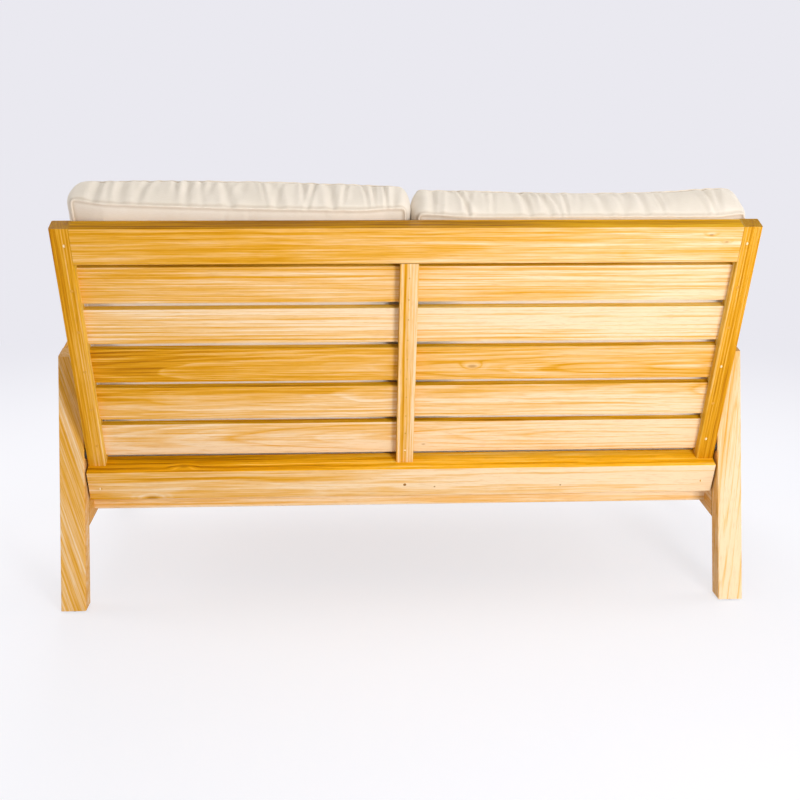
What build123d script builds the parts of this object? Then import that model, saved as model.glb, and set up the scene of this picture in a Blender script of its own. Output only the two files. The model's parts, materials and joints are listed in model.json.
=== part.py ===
from build123d import *
from math import cos, radians, sin
import os

os.makedirs("parts", exist_ok=True)

# A teak garden bench for two, with loose seat and back cushions.
# Sizes are in millimetres and angles in degrees. The bench faces -Y and stands on Z = 0,
# with the origin under the middle of its box. Left and right are as seen from the front.

# The whole bench
bench_width = 1400
bench_depth = 820
back_height = 783

# Side frames
leg_width = 50
leg_depth = 42
leg_rake = 14
rear_leg_height = 503
rear_foot_setback = 94
arm_slope = 11
arm_thickness = 34
arm_overhang = 12
side_rail_thickness = 34
side_rail_height = 78
side_rail_clear_height = 155
glide_thickness = 3
glide_radius = 16
glide_pin_radius = 2
glide_pin_length = 16

# Seat frame
seat_slope = 3
seat_rail_thickness = 30
rear_rail_height = 49
rear_rail_setback = 58
front_rail_recess = 6
bearer_width = 40
cleat_width = 22
cleat_height = 24
seat_slat_count = 6
seat_slat_gap = 17
slat_end_gap = 1
rear_slat_gap = 5
front_slat_gap = 3

# Back frame
recline = 20
back_gap = 4
stile_width = 35
stile_thickness = 34
mullion_width = 35
top_rail_height = 73
bottom_rail_height = 70
ledge_depth = 23
back_slat_count = 5
slat_height = 76
slat_thickness = 15
slat_gap = 13
top_slat_gap = 15
slat_lap = 17

# Joints between the boards
tenon_thickness = 14
tenon_shoulder = 6
tenon_length = 23
foot_tenon_length = 48
mullion_tenon_thickness = 9
glue_gap = 0.2
edge_radius = 2.5
small_edge_radius = 1.5
peg_radius = 3
peg_length = 26
peg_inset = 11
foot_peg_drop = 41
top_peg_drop = 34
nail_radius = 1.4
nail_length = 29
nail_height_shares = (0.2, 0.8)

# Bolts that hold the back frame between the rear legs
bolt_radius = 4
bolt_head_radius = 7
bolt_head_height = 7
bolt_key_radius = 3.5
bolt_key_depth = 4
bolt_hole_gap = 0.3
bolt_reach = 20
insert_radius = 6
insert_length = 25
thread_gap = 0.1
spacer_radius = 11
plug_radius = 8
plug_thickness = 8
upper_bolt_rise = 24
upper_bolt_inward = 11
lower_bolt_drop = 30
lower_bolt_set_out = 5

# Screws in the seat
screw_radius = 2
screw_head_radius = 4
screw_head_height = 2
screw_length = 32
screw_edge = 11

# Cushions
cover_thickness = 1.5
foam_gap = 0.3
cushion_gap = 0.5
middle_gap = 4
seat_cushion_side_gap = 3
seat_cushion_thickness = 120
seat_cushion_crown = 18
seat_cushion_nose = 9
seat_cushion_draw = 5
seat_cushion_overhang = 4
flat_margin = 15
back_cushion_side_gap = 10
back_cushion_thickness = 108
back_cushion_crown = 20
back_cushion_top_bulge = 7
back_cushion_draw = {"left": 8, "right": 4}
back_cushion_rise = {"left": 6, "right": 24}
corner_radius = 20
corner_turns = (60, 30, 0)
span_count = 8
crown_fall_share = 0.75

sides = {"left": -1, "right": 1}
outer_x = bench_width / 2
inner_x = outer_x - leg_width


# A direction in the side view, as (Y, Z), from how far it goes forward and up
def heading(forward, up):
    return Vector(-forward, up)


# The point where two lines of the side view meet. A line is a point and a direction.
def meet(line_a, line_b):
    (start, along), (other, toward) = line_a, line_b
    turn = along.X * toward.Y - along.Y * toward.X
    step = other - start
    return start + along * ((step.X * toward.Y - step.Y * toward.X) / turn)


def shifted(line, direction, distance):
    return line[0] + direction * distance, line[1]


level = heading(1, 0)
plumb = heading(0, 1)
foot_line = (Vector(0, glide_thickness), level)

# The rear leg leans forward as it rises
leg_up = heading(sin(radians(leg_rake)), cos(radians(leg_rake)))
leg_forward = heading(cos(radians(leg_rake)), -sin(radians(leg_rake)))
rear_leg_back = (Vector(bench_depth / 2 - rear_foot_setback, glide_thickness), leg_up)
rear_leg_front = shifted(rear_leg_back, leg_forward, leg_depth)

# The arm rises towards the front, where an upright leg carries it
arm_forward = heading(cos(radians(arm_slope)), sin(radians(arm_slope)))
arm_down = heading(sin(radians(arm_slope)), -cos(radians(arm_slope)))
leg_top = meet(rear_leg_back, (Vector(0, rear_leg_height), level))
arm_top = (leg_top, arm_forward)
arm_bottom = shifted(arm_top, arm_down, arm_thickness)
arm_front = (Vector(-bench_depth / 2, 0), plumb)
front_leg_front = shifted(arm_front, level, -arm_overhang)
front_leg_back = shifted(front_leg_front, level, -leg_depth)

# The seat rises a little towards the front. On its plane, X runs across and Y runs rearward.
seat_forward = heading(cos(radians(seat_slope)), sin(radians(seat_slope)))
seat_up = Vector(sin(radians(seat_slope)), cos(radians(seat_slope)))
rail_start = meet(rear_leg_front, (Vector(0, side_rail_clear_height), level))
side_rail_bottom = (rail_start, seat_forward)
deck = shifted(side_rail_bottom, seat_up, side_rail_height)
slat_underside = shifted(deck, seat_up, -slat_thickness)
seat_plane = Plane((0, deck[0].X, deck[0].Y), x_dir=(1, 0, 0), z_dir=(0, seat_up.X, seat_up.Y))
front_rail_front = shifted(front_leg_front, level, -front_rail_recess)
front_rail_back = shifted(front_rail_front, level, -seat_rail_thickness)

# The back leans away from the seat. On its plane, X runs across and Y runs down the boards.
back_up = Vector(sin(radians(recline)), cos(radians(recline)))
back_rearward = Vector(cos(radians(recline)), -sin(radians(recline)))
back_top = Vector(bench_depth / 2, back_height)
back_front = shifted((back_top, back_up), back_rearward, -stile_thickness)
back_plane = Plane(
    (0, back_top.X, back_top.Y), x_dir=(1, 0, 0), z_dir=(0, back_rearward.X, back_rearward.Y)
)
slat_pitch = slat_height + slat_gap
stile_outer_x = inner_x - back_gap
stile_inner_x = stile_outer_x - stile_width
slat_face = stile_thickness - slat_thickness
slat_starts = [
    top_rail_height + top_slat_gap + n * slat_pitch for n in range(back_slat_count)
]
ledge_down = slat_starts[-1] + slat_pitch


def back_point(down, inward):
    return back_top - back_up * down - back_rearward * inward


# How far forward a point of the side view lies, measured along the seat from the rear leg
def along_seat(point):
    return (point - deck[0]).dot(seat_forward)


def spread(half_width, middle=0):
    return middle - half_width, middle + half_width


def ordered(a, b):
    return min(a, b), max(a, b)


# A mortise is its tenon with a gap for the glue all round and at its end
def grown(span, gap=glue_gap):
    return span[0] - gap, span[1] + gap


# Fills or cuts a straight block: two spans on the plane, and a depth along its normal
def block(plane, x_span, y_span, depth, mode=Mode.ADD):
    with BuildSketch(plane) as face:
        with Locations((sum(x_span) / 2, sum(y_span) / 2)):
            Rectangle(x_span[1] - x_span[0], y_span[1] - y_span[0])
    extrude(face.sketch, amount=depth, mode=mode)


# Fills or cuts an outline of the side view, from one X to another
def across(points, x_start, x_end, mode=Mode.ADD):
    with BuildSketch(Plane.YZ.offset(x_start)) as face:
        with BuildLine():
            Polyline(*points, close=True)
        make_face()
    extrude(face.sketch, amount=x_end - x_start, mode=mode)


# Fills or cuts round pins at places on a plane
def pins(plane, places, radius, depth, mode=Mode.ADD):
    with BuildSketch(plane) as face:
        with Locations(*places):
            Circle(radius)
    extrude(face.sketch, amount=depth, mode=mode)


def drill(plane, places, radius, depth, gap=glue_gap):
    pins(plane, places, radius + gap, depth, Mode.SUBTRACT)


# Eases the long edges of a board, which run across or in one direction of the side view
def ease(board, direction=None, radius=edge_radius):
    axis = Axis.X if direction is None else Axis((0, 0, 0), (0, direction.X, direction.Y))
    edges = board.edges().filter_by(axis)
    longest = max(edge.length for edge in edges)
    fillet(edges.filter_by(lambda edge: edge.length > longest / 2), radius)


def save(board, name):
    board.part.label = name
    export_step(board.part, f"parts/{name}.step")


# The outline of a tenon that stands out of a shoulder, between a low and a high line.
# With a gap, it is the outline of the mortise.
def tenon(low, high, shoulder, direction, length, gap=0):
    apart = (high[0] - low[0]).normalized()
    low, high = shifted(low, apart, -gap), shifted(high, apart, gap)
    start = shifted(shoulder, direction, -gap)
    end = shifted(shoulder, direction, length + gap)
    return [meet(low, start), meet(low, end), meet(high, end), meet(high, start)]


def tenon_x(side, middle, gap=0):
    return [side * x for x in spread(tenon_thickness / 2 + gap, middle)]


# Tenons of the side frames
side_tenon_x = inner_x + side_rail_thickness / 2
leg_middle_x = inner_x + leg_width / 2
rail_tenon_low = shifted(side_rail_bottom, seat_up, tenon_shoulder)
rail_tenon_high = shifted(deck, seat_up, -tenon_shoulder)
arm_tenon_low = shifted(arm_bottom, arm_down, -tenon_shoulder)
arm_tenon_high = shifted(arm_top, arm_down, tenon_shoulder)
leg_tenon_front = shifted(front_leg_front, level, -tenon_shoulder)
leg_tenon_back = shifted(front_leg_back, level, tenon_shoulder)
arm_rear_tenon = (arm_tenon_low, arm_tenon_high, rear_leg_front, -leg_forward, tenon_length)
rail_rear_tenon = (rail_tenon_low, rail_tenon_high, rear_leg_front, -leg_forward, tenon_length)

# In the front leg, the side rail's tenon lies over that of the front seat rail
rail_middle = shifted(side_rail_bottom, seat_up, side_rail_height / 2)
upper_tenon_low = shifted(rail_middle, seat_up, tenon_shoulder / 2)
lower_tenon_high = shifted(rail_middle, seat_up, -tenon_shoulder / 2)
rail_front_tenon = (upper_tenon_low, rail_tenon_high, front_leg_back, level, tenon_length)
leg_top_tenon = (leg_tenon_back, leg_tenon_front, arm_bottom, -arm_down, tenon_length)
cross_tenon_length = leg_width / 2


# The front seat rail's tenon, seen from the side, which goes into the front leg
def front_rail_tenon(gap=0):
    front = shifted(front_rail_front, level, gap - tenon_shoulder)
    back = shifted(front_rail_back, level, tenon_shoulder - gap)
    low = shifted(rail_tenon_low, seat_up, -gap)
    high = shifted(lower_tenon_high, seat_up, gap)
    return [meet(front, low), meet(back, low), meet(back, high), meet(front, high)]


# Places on the side view of what goes through the legs along X
def side_places(points):
    return [(point.X, point.Y) for point in points]


def tenon_middle(low, high, shoulder):
    return (meet(low, shoulder) + meet(high, shoulder)) / 2


bolt_places = side_places(
    [
        back_point(ledge_down - upper_bolt_rise, upper_bolt_inward),
        back_point(ledge_down + lower_bolt_drop, -lower_bolt_set_out),
    ]
)
peg_places = {
    "rail_rear": tenon_middle(rail_tenon_low, rail_tenon_high, rear_leg_front)
    - leg_forward * peg_inset,
    "arm_rear": tenon_middle(arm_tenon_low, arm_tenon_high, rear_leg_front)
    - leg_forward * peg_inset,
    "rail_front": tenon_middle(upper_tenon_low, rail_tenon_high, front_leg_back)
    + level * peg_inset,
    "leg_top": tenon_middle(leg_tenon_back, leg_tenon_front, arm_bottom)
    - arm_down * peg_inset,
}
side_peg_length = leg_width - tenon_shoulder


def drill_side_pegs(side, *names):
    places = side_places([peg_places[name] for name in names])
    drill(Plane.YZ.offset(side * outer_x), places, peg_radius, -side * side_peg_length)


# Seat slats: where each lies, measured forward along the seat, and how wide they are to fill it
slat_zone_start = along_seat(meet(deck, back_front)) + rear_slat_gap
slat_zone_end = along_seat(meet(deck, front_rail_back)) - front_slat_gap
seat_slat_pitch = (slat_zone_end - slat_zone_start + seat_slat_gap) / seat_slat_count
seat_slat_width = seat_slat_pitch - seat_slat_gap
seat_slat_starts = [slat_zone_start + n * seat_slat_pitch for n in range(seat_slat_count)]
cleat_start = rear_rail_setback + seat_rail_thickness
cleat_rear = (deck[0] + seat_forward * cleat_start, seat_up)


# The three screws of each slat, and the screws between slats that hold a cleat to its rail
def slat_screws(start):
    middle = start + seat_slat_width / 2
    return [(x, -middle) for x in (screw_edge - inner_x, 0, inner_x - screw_edge)]


cleat_screw_line = shifted(slat_underside, seat_up, -cleat_height / 2)
cleat_screw_places = side_places(
    [
        cleat_screw_line[0] + seat_forward * (start + seat_slat_width / 2 + seat_slat_pitch / 2)
        for start in seat_slat_starts[:-1:2]
    ]
)

# Places of the glides under the legs
rear_foot_y = (meet(rear_leg_back, foot_line) + meet(rear_leg_front, foot_line)).X / 2
front_foot_y = (front_leg_front[0] + front_leg_back[0]).X / 2
glide_places = [(side * leg_middle_x, y) for side in sides.values() for y in (rear_foot_y, front_foot_y)]

rear_rail_tenon_span = (tenon_shoulder - cleat_start, -rear_rail_setback - tenon_shoulder)
rear_rail_tenon_height = rear_rail_height - 2 * tenon_shoulder

for name, side in sides.items():
    outer_face = Plane.YZ.offset(side * outer_x)
    cleat_face = Plane.YZ.offset(side * (inner_x - cleat_width))

    with BuildPart() as rear_leg:
        across(
            [
                meet(rear_leg_back, foot_line),
                meet(rear_leg_front, foot_line),
                meet(rear_leg_front, arm_top),
                leg_top,
            ],
            side * inner_x,
            side * outer_x,
        )
        ease(rear_leg, leg_up)
        across(
            tenon(*arm_rear_tenon, glue_gap), *tenon_x(side, leg_middle_x, glue_gap), Mode.SUBTRACT
        )
        across(
            tenon(*rail_rear_tenon, glue_gap), *tenon_x(side, side_tenon_x, glue_gap), Mode.SUBTRACT
        )
        drill(outer_face, bolt_places, bolt_radius, -side * leg_width, bolt_hole_gap)
        drill(outer_face, bolt_places, plug_radius, -side * (plug_thickness + bolt_head_height))
        drill_side_pegs(side, "rail_rear", "arm_rear")
        drill(Plane.XY.offset(glide_thickness), glide_places, glide_pin_radius, glide_pin_length)
    save(rear_leg, f"rear_leg_{name}")

    with BuildPart() as front_leg:
        across(
            [
                meet(front_leg_back, foot_line),
                meet(front_leg_front, foot_line),
                meet(front_leg_front, arm_bottom),
                meet(front_leg_back, arm_bottom),
            ],
            side * inner_x,
            side * outer_x,
        )
        ease(front_leg, plumb)
        across(tenon(*leg_top_tenon), *tenon_x(side, leg_middle_x))
        across(
            tenon(*rail_front_tenon, glue_gap), *tenon_x(side, side_tenon_x, glue_gap), Mode.SUBTRACT
        )
        across(
            front_rail_tenon(glue_gap),
            side * inner_x,
            side * (inner_x + cross_tenon_length + glue_gap),
            Mode.SUBTRACT,
        )
        drill_side_pegs(side, "rail_front", "leg_top")
        drill(Plane.XY.offset(glide_thickness), glide_places, glide_pin_radius, glide_pin_length)
    save(front_leg, f"front_leg_{name}")

    with BuildPart() as arm:
        across(
            [
                meet(rear_leg_front, arm_top),
                meet(rear_leg_front, arm_bottom),
                meet(arm_front, arm_bottom),
                meet(arm_front, arm_top),
            ],
            side * inner_x,
            side * outer_x,
        )
        ease(arm, arm_forward)
        across(tenon(*arm_rear_tenon), *tenon_x(side, leg_middle_x))
        across(
            tenon(*leg_top_tenon, glue_gap), *tenon_x(side, leg_middle_x, glue_gap), Mode.SUBTRACT
        )
        drill_side_pegs(side, "arm_rear", "leg_top")
    save(arm, f"arm_{name}")

    with BuildPart() as side_rail:
        across(
            [
                meet(side_rail_bottom, rear_leg_front),
                meet(side_rail_bottom, front_leg_back),
                meet(deck, front_leg_back),
                meet(deck, rear_leg_front),
            ],
            side * inner_x,
            side * (inner_x + side_rail_thickness),
        )
        ease(side_rail, seat_forward)
        across(tenon(*rail_rear_tenon), *tenon_x(side, side_tenon_x))
        across(tenon(*rail_front_tenon), *tenon_x(side, side_tenon_x))
        drill_side_pegs(side, "rail_rear", "rail_front")
        block(
            seat_plane.offset(glue_gap - slat_thickness - tenon_shoulder),
            ordered(side * inner_x, side * (inner_x + tenon_length + glue_gap)),
            grown(rear_rail_tenon_span),
            -rear_rail_tenon_height - 2 * glue_gap,
            Mode.SUBTRACT,
        )
        drill(cleat_face, cleat_screw_places, screw_radius, side * screw_length)
    save(side_rail, f"side_rail_{name}")

    with BuildPart() as seat_cleat:
        cleat_bottom = shifted(slat_underside, seat_up, -cleat_height)
        across(
            [
                meet(cleat_rear, cleat_bottom),
                meet(front_rail_back, cleat_bottom),
                meet(front_rail_back, slat_underside),
                meet(cleat_rear, slat_underside),
            ],
            side * (inner_x - cleat_width),
            side * inner_x,
        )
        ease(seat_cleat, seat_forward, small_edge_radius)
        drill(cleat_face, cleat_screw_places, screw_radius, side * cleat_width)
        drill(cleat_face, cleat_screw_places, screw_head_radius, side * screw_head_height)
        for start in seat_slat_starts:
            drill(seat_plane, slat_screws(start), screw_radius, -screw_length)
    save(seat_cleat, f"seat_cleat_{name}")

# The rails across the seat, and the bearer under its middle
bearer_tenon_length = seat_rail_thickness / 2
bearer_tenon_x = spread(bearer_width / 2 - tenon_shoulder)
bearer_tenon_high = shifted(slat_underside, seat_up, -tenon_shoulder)
bearer_bottom = shifted(slat_underside, seat_up, -rear_rail_height)
bearer_tenon_low = shifted(bearer_bottom, seat_up, tenon_shoulder)
bearer_front_tenon = (
    bearer_tenon_low, bearer_tenon_high, front_rail_back, level, bearer_tenon_length
)
bearer_rear_tenon = (
    bearer_tenon_low, bearer_tenon_high, cleat_rear, -seat_forward, bearer_tenon_length
)

with BuildPart() as front_seat_rail:
    across(
        [
            meet(front_rail_front, side_rail_bottom),
            meet(front_rail_back, side_rail_bottom),
            meet(front_rail_back, deck),
            meet(front_rail_front, deck),
        ],
        -inner_x,
        inner_x,
    )
    ease(front_seat_rail)
    for side in sides.values():
        across(front_rail_tenon(), side * inner_x, side * (inner_x + cross_tenon_length))
    across(tenon(*bearer_front_tenon, glue_gap), *grown(bearer_tenon_x), Mode.SUBTRACT)
save(front_seat_rail, "front_seat_rail")

with BuildPart() as rear_seat_rail:
    block(
        seat_plane.offset(-slat_thickness),
        spread(inner_x),
        (-cleat_start, -rear_rail_setback),
        -rear_rail_height,
    )
    ease(rear_seat_rail)
    block(
        seat_plane.offset(-slat_thickness - tenon_shoulder),
        spread(inner_x + tenon_length),
        rear_rail_tenon_span,
        -rear_rail_tenon_height,
    )
    across(tenon(*bearer_rear_tenon, glue_gap), *grown(bearer_tenon_x), Mode.SUBTRACT)
save(rear_seat_rail, "rear_seat_rail")

with BuildPart() as seat_bearer:
    across(
        [
            meet(cleat_rear, bearer_bottom),
            meet(front_rail_back, bearer_bottom),
            meet(front_rail_back, slat_underside),
            meet(cleat_rear, slat_underside),
        ],
        *spread(bearer_width / 2),
    )
    ease(seat_bearer, seat_forward)
    across(tenon(*bearer_front_tenon), *bearer_tenon_x)
    across(tenon(*bearer_rear_tenon), *bearer_tenon_x)
    for start in seat_slat_starts:
        drill(seat_plane, slat_screws(start), screw_radius, -screw_length)
save(seat_bearer, "seat_bearer")

for number, start in enumerate(seat_slat_starts, 1):
    with BuildPart() as seat_slat:
        block(
            seat_plane,
            spread(inner_x - slat_end_gap),
            (-start - seat_slat_width, -start),
            -slat_thickness,
        )
        ease(seat_slat, radius=small_edge_radius)
        drill(seat_plane, slat_screws(start), screw_radius, -slat_thickness)
        drill(seat_plane, slat_screws(start), screw_head_radius, -screw_head_height)
    save(seat_slat, f"seat_slat_{number}")

# The back frame. Tenons lie in the middle of the stiles' thickness, the slats at its front.
tenon_inward = (stile_thickness - tenon_thickness) / 2
mullion_tenon_inward = (slat_face - mullion_tenon_thickness) / 2
top_tenon_down = (tenon_shoulder, top_rail_height - tenon_shoulder)
foot_tenon_down = (ledge_down, ledge_down + foot_tenon_length)
mullion_tenon_x = spread(mullion_width / 2 - tenon_shoulder)
mullion_top_down = (top_rail_height - tenon_length, top_rail_height)
peg_x = stile_inner_x + peg_inset


def stile_tenon_x(side):
    return ordered(side * (stile_inner_x + tenon_shoulder), side * (stile_outer_x - tenon_shoulder))


# Fills a tenon of the back frame, or cuts the mortise that takes it
def back_tenon(x_span, down_span, inward, thickness):
    block(back_plane.offset(-inward), x_span, down_span, -thickness)


def back_mortise(x_span, down_span, inward, thickness):
    block(
        back_plane.offset(glue_gap - inward),
        grown(x_span),
        grown(down_span),
        -thickness - 2 * glue_gap,
        Mode.SUBTRACT,
    )


def slat_pegs(side, start):
    return [(side * peg_x, start + slat_height / 2)]


def slat_nails(start):
    return [(0, start + slat_height * share) for share in nail_height_shares]


top_pegs = [(x, top_peg_drop) for x in (-peg_x, peg_x)]
foot_pegs = [(x, ledge_down + foot_peg_drop) for x in (-peg_x, 0, peg_x)]
rail_plane = back_plane.offset(ledge_depth)
foot_peg_length = ledge_depth + peg_length

for name, side in sides.items():
    with BuildPart() as back_stile:
        block(
            back_plane,
            ordered(side * stile_inner_x, side * stile_outer_x),
            (0, ledge_down),
            -stile_thickness,
        )
        ease(back_stile, back_up)
        back_tenon(stile_tenon_x(side), foot_tenon_down, tenon_inward, tenon_thickness)
        back_mortise(
            ordered(side * stile_inner_x, side * (stile_inner_x + tenon_length)),
            top_tenon_down,
            tenon_inward,
            tenon_thickness,
        )
        for start in slat_starts:
            block(
                back_plane.offset(-slat_face),
                ordered(side * (stile_inner_x - glue_gap), side * (stile_inner_x + slat_lap + glue_gap)),
                grown((start, start + slat_height)),
                -slat_thickness,
                Mode.SUBTRACT,
            )
            drill(back_plane, slat_pegs(side, start), peg_radius, -peg_length)
        drill(back_plane, top_pegs, peg_radius, -peg_length)
        drill(rail_plane, foot_pegs, peg_radius, -foot_peg_length)
        stile_face = Plane.YZ.offset(side * stile_outer_x)
        drill(stile_face, bolt_places[:1], insert_radius, -side * insert_length)
    save(back_stile, f"back_stile_{name}")

with BuildPart() as back_top_rail:
    block(back_plane, spread(stile_inner_x), (0, top_rail_height), -stile_thickness)
    ease(back_top_rail)
    back_tenon(spread(stile_inner_x + tenon_length), top_tenon_down, tenon_inward, tenon_thickness)
    back_mortise(mullion_tenon_x, mullion_top_down, mullion_tenon_inward, mullion_tenon_thickness)
    drill(back_plane, top_pegs, peg_radius, -peg_length)
save(back_top_rail, "back_top_rail")

with BuildPart() as back_bottom_rail:
    block(
        rail_plane,
        spread(stile_outer_x),
        (ledge_down, ledge_down + bottom_rail_height),
        -ledge_depth - stile_thickness,
    )
    ease(back_bottom_rail)
    for side in sides.values():
        back_mortise(stile_tenon_x(side), foot_tenon_down, tenon_inward, tenon_thickness)
        rail_end = Plane.YZ.offset(side * stile_outer_x)
        drill(rail_end, bolt_places[1:], insert_radius, -side * insert_length)
    back_mortise(mullion_tenon_x, foot_tenon_down, mullion_tenon_inward, mullion_tenon_thickness)
    drill(rail_plane, foot_pegs, peg_radius, -foot_peg_length)
save(back_bottom_rail, "back_bottom_rail")

with BuildPart() as back_mullion:
    block(back_plane, spread(mullion_width / 2), (top_rail_height, ledge_down), -slat_face)
    ease(back_mullion, back_up, small_edge_radius)
    back_tenon(mullion_tenon_x, mullion_top_down, mullion_tenon_inward, mullion_tenon_thickness)
    back_tenon(mullion_tenon_x, foot_tenon_down, mullion_tenon_inward, mullion_tenon_thickness)
    drill(rail_plane, foot_pegs[1:2], peg_radius, -foot_peg_length)
    for start in slat_starts:
        drill(back_plane, slat_nails(start), nail_radius, -nail_length)
save(back_mullion, "back_mullion")

for number, start in enumerate(slat_starts, 1):
    with BuildPart() as back_slat:
        block(
            back_plane.offset(-slat_face),
            spread(stile_inner_x + slat_lap),
            (start, start + slat_height),
            -slat_thickness,
        )
        ease(back_slat, radius=small_edge_radius)
        for side in sides.values():
            drill(back_plane, slat_pegs(side, start), peg_radius, -peg_length)
        drill(back_plane, slat_nails(start), nail_radius, -nail_length)
    save(back_slat, f"back_slat_{number}")

# Small pieces, each kind a group of separate solids
with BuildPart() as foot_glides:
    pins(Plane.XY, glide_places, glide_radius, glide_thickness)
    pins(Plane.XY.offset(glide_thickness), glide_places, glide_pin_radius, glide_pin_length)
save(foot_glides, "foot_glides")

bolt_head_x = outer_x - plug_thickness
bolt_shoulder_x = bolt_head_x - bolt_head_height

with BuildPart() as back_bolts:
    for side in sides.values():
        pins(Plane.YZ.offset(side * bolt_head_x), bolt_places, bolt_head_radius, -side * bolt_head_height)
        shank_length = bolt_shoulder_x - stile_outer_x + bolt_reach
        pins(Plane.YZ.offset(side * bolt_shoulder_x), bolt_places, bolt_radius, -side * shank_length)
        with BuildSketch(Plane.YZ.offset(side * bolt_head_x)) as key:
            with Locations(*bolt_places):
                RegularPolygon(bolt_key_radius, 6)
        extrude(key.sketch, amount=-side * bolt_key_depth, mode=Mode.SUBTRACT)
save(back_bolts, "back_bolts")

with BuildPart() as bolt_inserts:
    for side in sides.values():
        insert_face = Plane.YZ.offset(side * stile_outer_x)
        pins(insert_face, bolt_places, insert_radius, -side * insert_length)
        drill(insert_face, bolt_places, bolt_radius, -side * insert_length, thread_gap)
save(bolt_inserts, "bolt_inserts")

with BuildPart() as bolt_spacers:
    for side in sides.values():
        spacer_face = Plane.YZ.offset(side * stile_outer_x)
        pins(spacer_face, bolt_places, spacer_radius, side * back_gap)
        drill(spacer_face, bolt_places, bolt_radius, side * back_gap, bolt_hole_gap)
save(bolt_spacers, "bolt_spacers")

with BuildPart() as bolt_plugs:
    for side in sides.values():
        pins(Plane.YZ.offset(side * outer_x), bolt_places, plug_radius, -side * plug_thickness)
save(bolt_plugs, "bolt_plugs")

with BuildPart() as side_frame_pegs:
    for side in sides.values():
        places = side_places(peg_places.values())
        pins(Plane.YZ.offset(side * outer_x), places, peg_radius, -side * side_peg_length)
save(side_frame_pegs, "side_frame_pegs")

with BuildPart() as back_frame_pegs:
    places = list(top_pegs)
    for side in sides.values():
        places += [place for start in slat_starts for place in slat_pegs(side, start)]
    pins(back_plane, places, peg_radius, -peg_length)
    pins(rail_plane, foot_pegs, peg_radius, -foot_peg_length)
save(back_frame_pegs, "back_frame_pegs")

with BuildPart() as mullion_nails:
    places = [place for start in slat_starts for place in slat_nails(start)]
    pins(back_plane, places, nail_radius, -nail_length)
save(mullion_nails, "mullion_nails")

with BuildPart() as seat_screws:
    places = [place for start in seat_slat_starts for place in slat_screws(start)]
    pins(seat_plane, places, screw_head_radius, -screw_head_height)
    pins(seat_plane, places, screw_radius, -screw_length)
save(seat_screws, "seat_screws")

with BuildPart() as cleat_screws:
    for side in sides.values():
        cleat_face = Plane.YZ.offset(side * (inner_x - cleat_width))
        pins(cleat_face, cleat_screw_places, screw_head_radius, side * screw_head_height)
        pins(cleat_face, cleat_screw_places, screw_radius, side * screw_length)
save(cleat_screws, "cleat_screws")

# Cushions. Each is a cloth cover with a seam round both of its panels, over a block of foam.
seat_cushion_top = shifted(deck, seat_up, cushion_gap + seat_cushion_thickness)
cushion_rear = shifted(back_front, back_rearward, -cushion_gap)
flat_end = shifted(cushion_rear, back_rearward, -back_cushion_thickness - flat_margin)
seat_cushion_front = along_seat(meet(deck, front_rail_front)) + seat_cushion_overhang


# The side view of a seat cushion: flat where it lies on the slats, against the back and under
# the back cushion, falling in a crown from there to its front seam, and round in front
def seat_outline(inset, crown_share, pinch):
    rear = shifted(cushion_rear, back_rearward, -inset)
    bottom = shifted(deck, seat_up, cushion_gap + inset)
    top = shifted(seat_cushion_top, seat_up, -inset - pinch)
    seam = shifted(top, seat_up, -seat_cushion_crown)
    reach = seat_cushion_front - inset - pinch - seat_cushion_draw * crown_share
    front = (deck[0] + seat_forward * reach, seat_up)
    low_rear, high_rear = meet(rear, bottom), meet(rear, top)
    flat, high_front, low_front = meet(flat_end, top), meet(front, seam), meet(front, bottom)
    crown = (flat + high_front) / 2 + seat_up * seat_cushion_crown * crown_share / 4
    nose = (high_front + low_front) / 2 + seat_forward * seat_cushion_nose
    Line(low_rear, high_rear)
    Line(high_rear, flat)
    ThreePointArc(flat, crown, high_front)
    ThreePointArc(high_front, nose, low_front)
    Line(low_front, low_rear)


# The side view of a back cushion: flat where it leans on the slats and stands on the seat
# cushion, crowned in front, and round on top
def back_outline(rise, draw):
    def outline(inset, crown_share, pinch):
        rear = shifted(cushion_rear, back_rearward, -inset)
        bottom = shifted(seat_cushion_top, seat_up, cushion_gap + inset)
        front = shifted(cushion_rear, back_rearward, inset + pinch - back_cushion_thickness)
        height = rise - inset - pinch - draw * crown_share
        top = (back_top + back_up * height, back_rearward)
        low_rear, high_rear = meet(rear, bottom), meet(rear, top)
        high_front, low_front = meet(front, top), meet(front, bottom)
        bulge = (high_rear + high_front) / 2 + back_up * back_cushion_top_bulge
        crown = (high_front + low_front) / 2 - back_rearward * back_cushion_crown * crown_share
        Line(low_rear, high_rear)
        ThreePointArc(high_rear, bulge, high_front)
        ThreePointArc(high_front, crown, low_front)
        Line(low_front, low_rear)

    return outline


# Where the sections of a cushion lie along its length, with the share of its crown and how
# far its seams turn in there. It is fullest in the middle, and its ends are rounded.
def cushion_stations(half_width, corner):
    stations = []
    for number in range(span_count + 1):
        place = 2 * number / span_count - 1
        stations.append((place * (half_width - corner), 1 - crown_fall_share * place**2, 0))
    for turn in corner_turns:
        x = half_width - corner * (1 - cos(radians(turn)))
        pinch = corner * (1 - sin(radians(turn)))
        stations.insert(0, (-x, 1 - crown_fall_share, pinch))
        stations.append((x, 1 - crown_fall_share, pinch))
    return stations


# Fills or cuts a cushion's form, smaller all round by an inset
def cushion_form(outline, middle_x, width, inset, mode=Mode.ADD):
    faces = []
    for x, crown_share, pinch in cushion_stations(width / 2 - inset, corner_radius - inset):
        with BuildSketch(Plane.YZ.offset(middle_x + x)) as face:
            with BuildLine():
                outline(inset, crown_share, pinch)
            make_face()
        faces.append(face.sketch)
    loft(faces, ruled=True, mode=mode)


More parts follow.
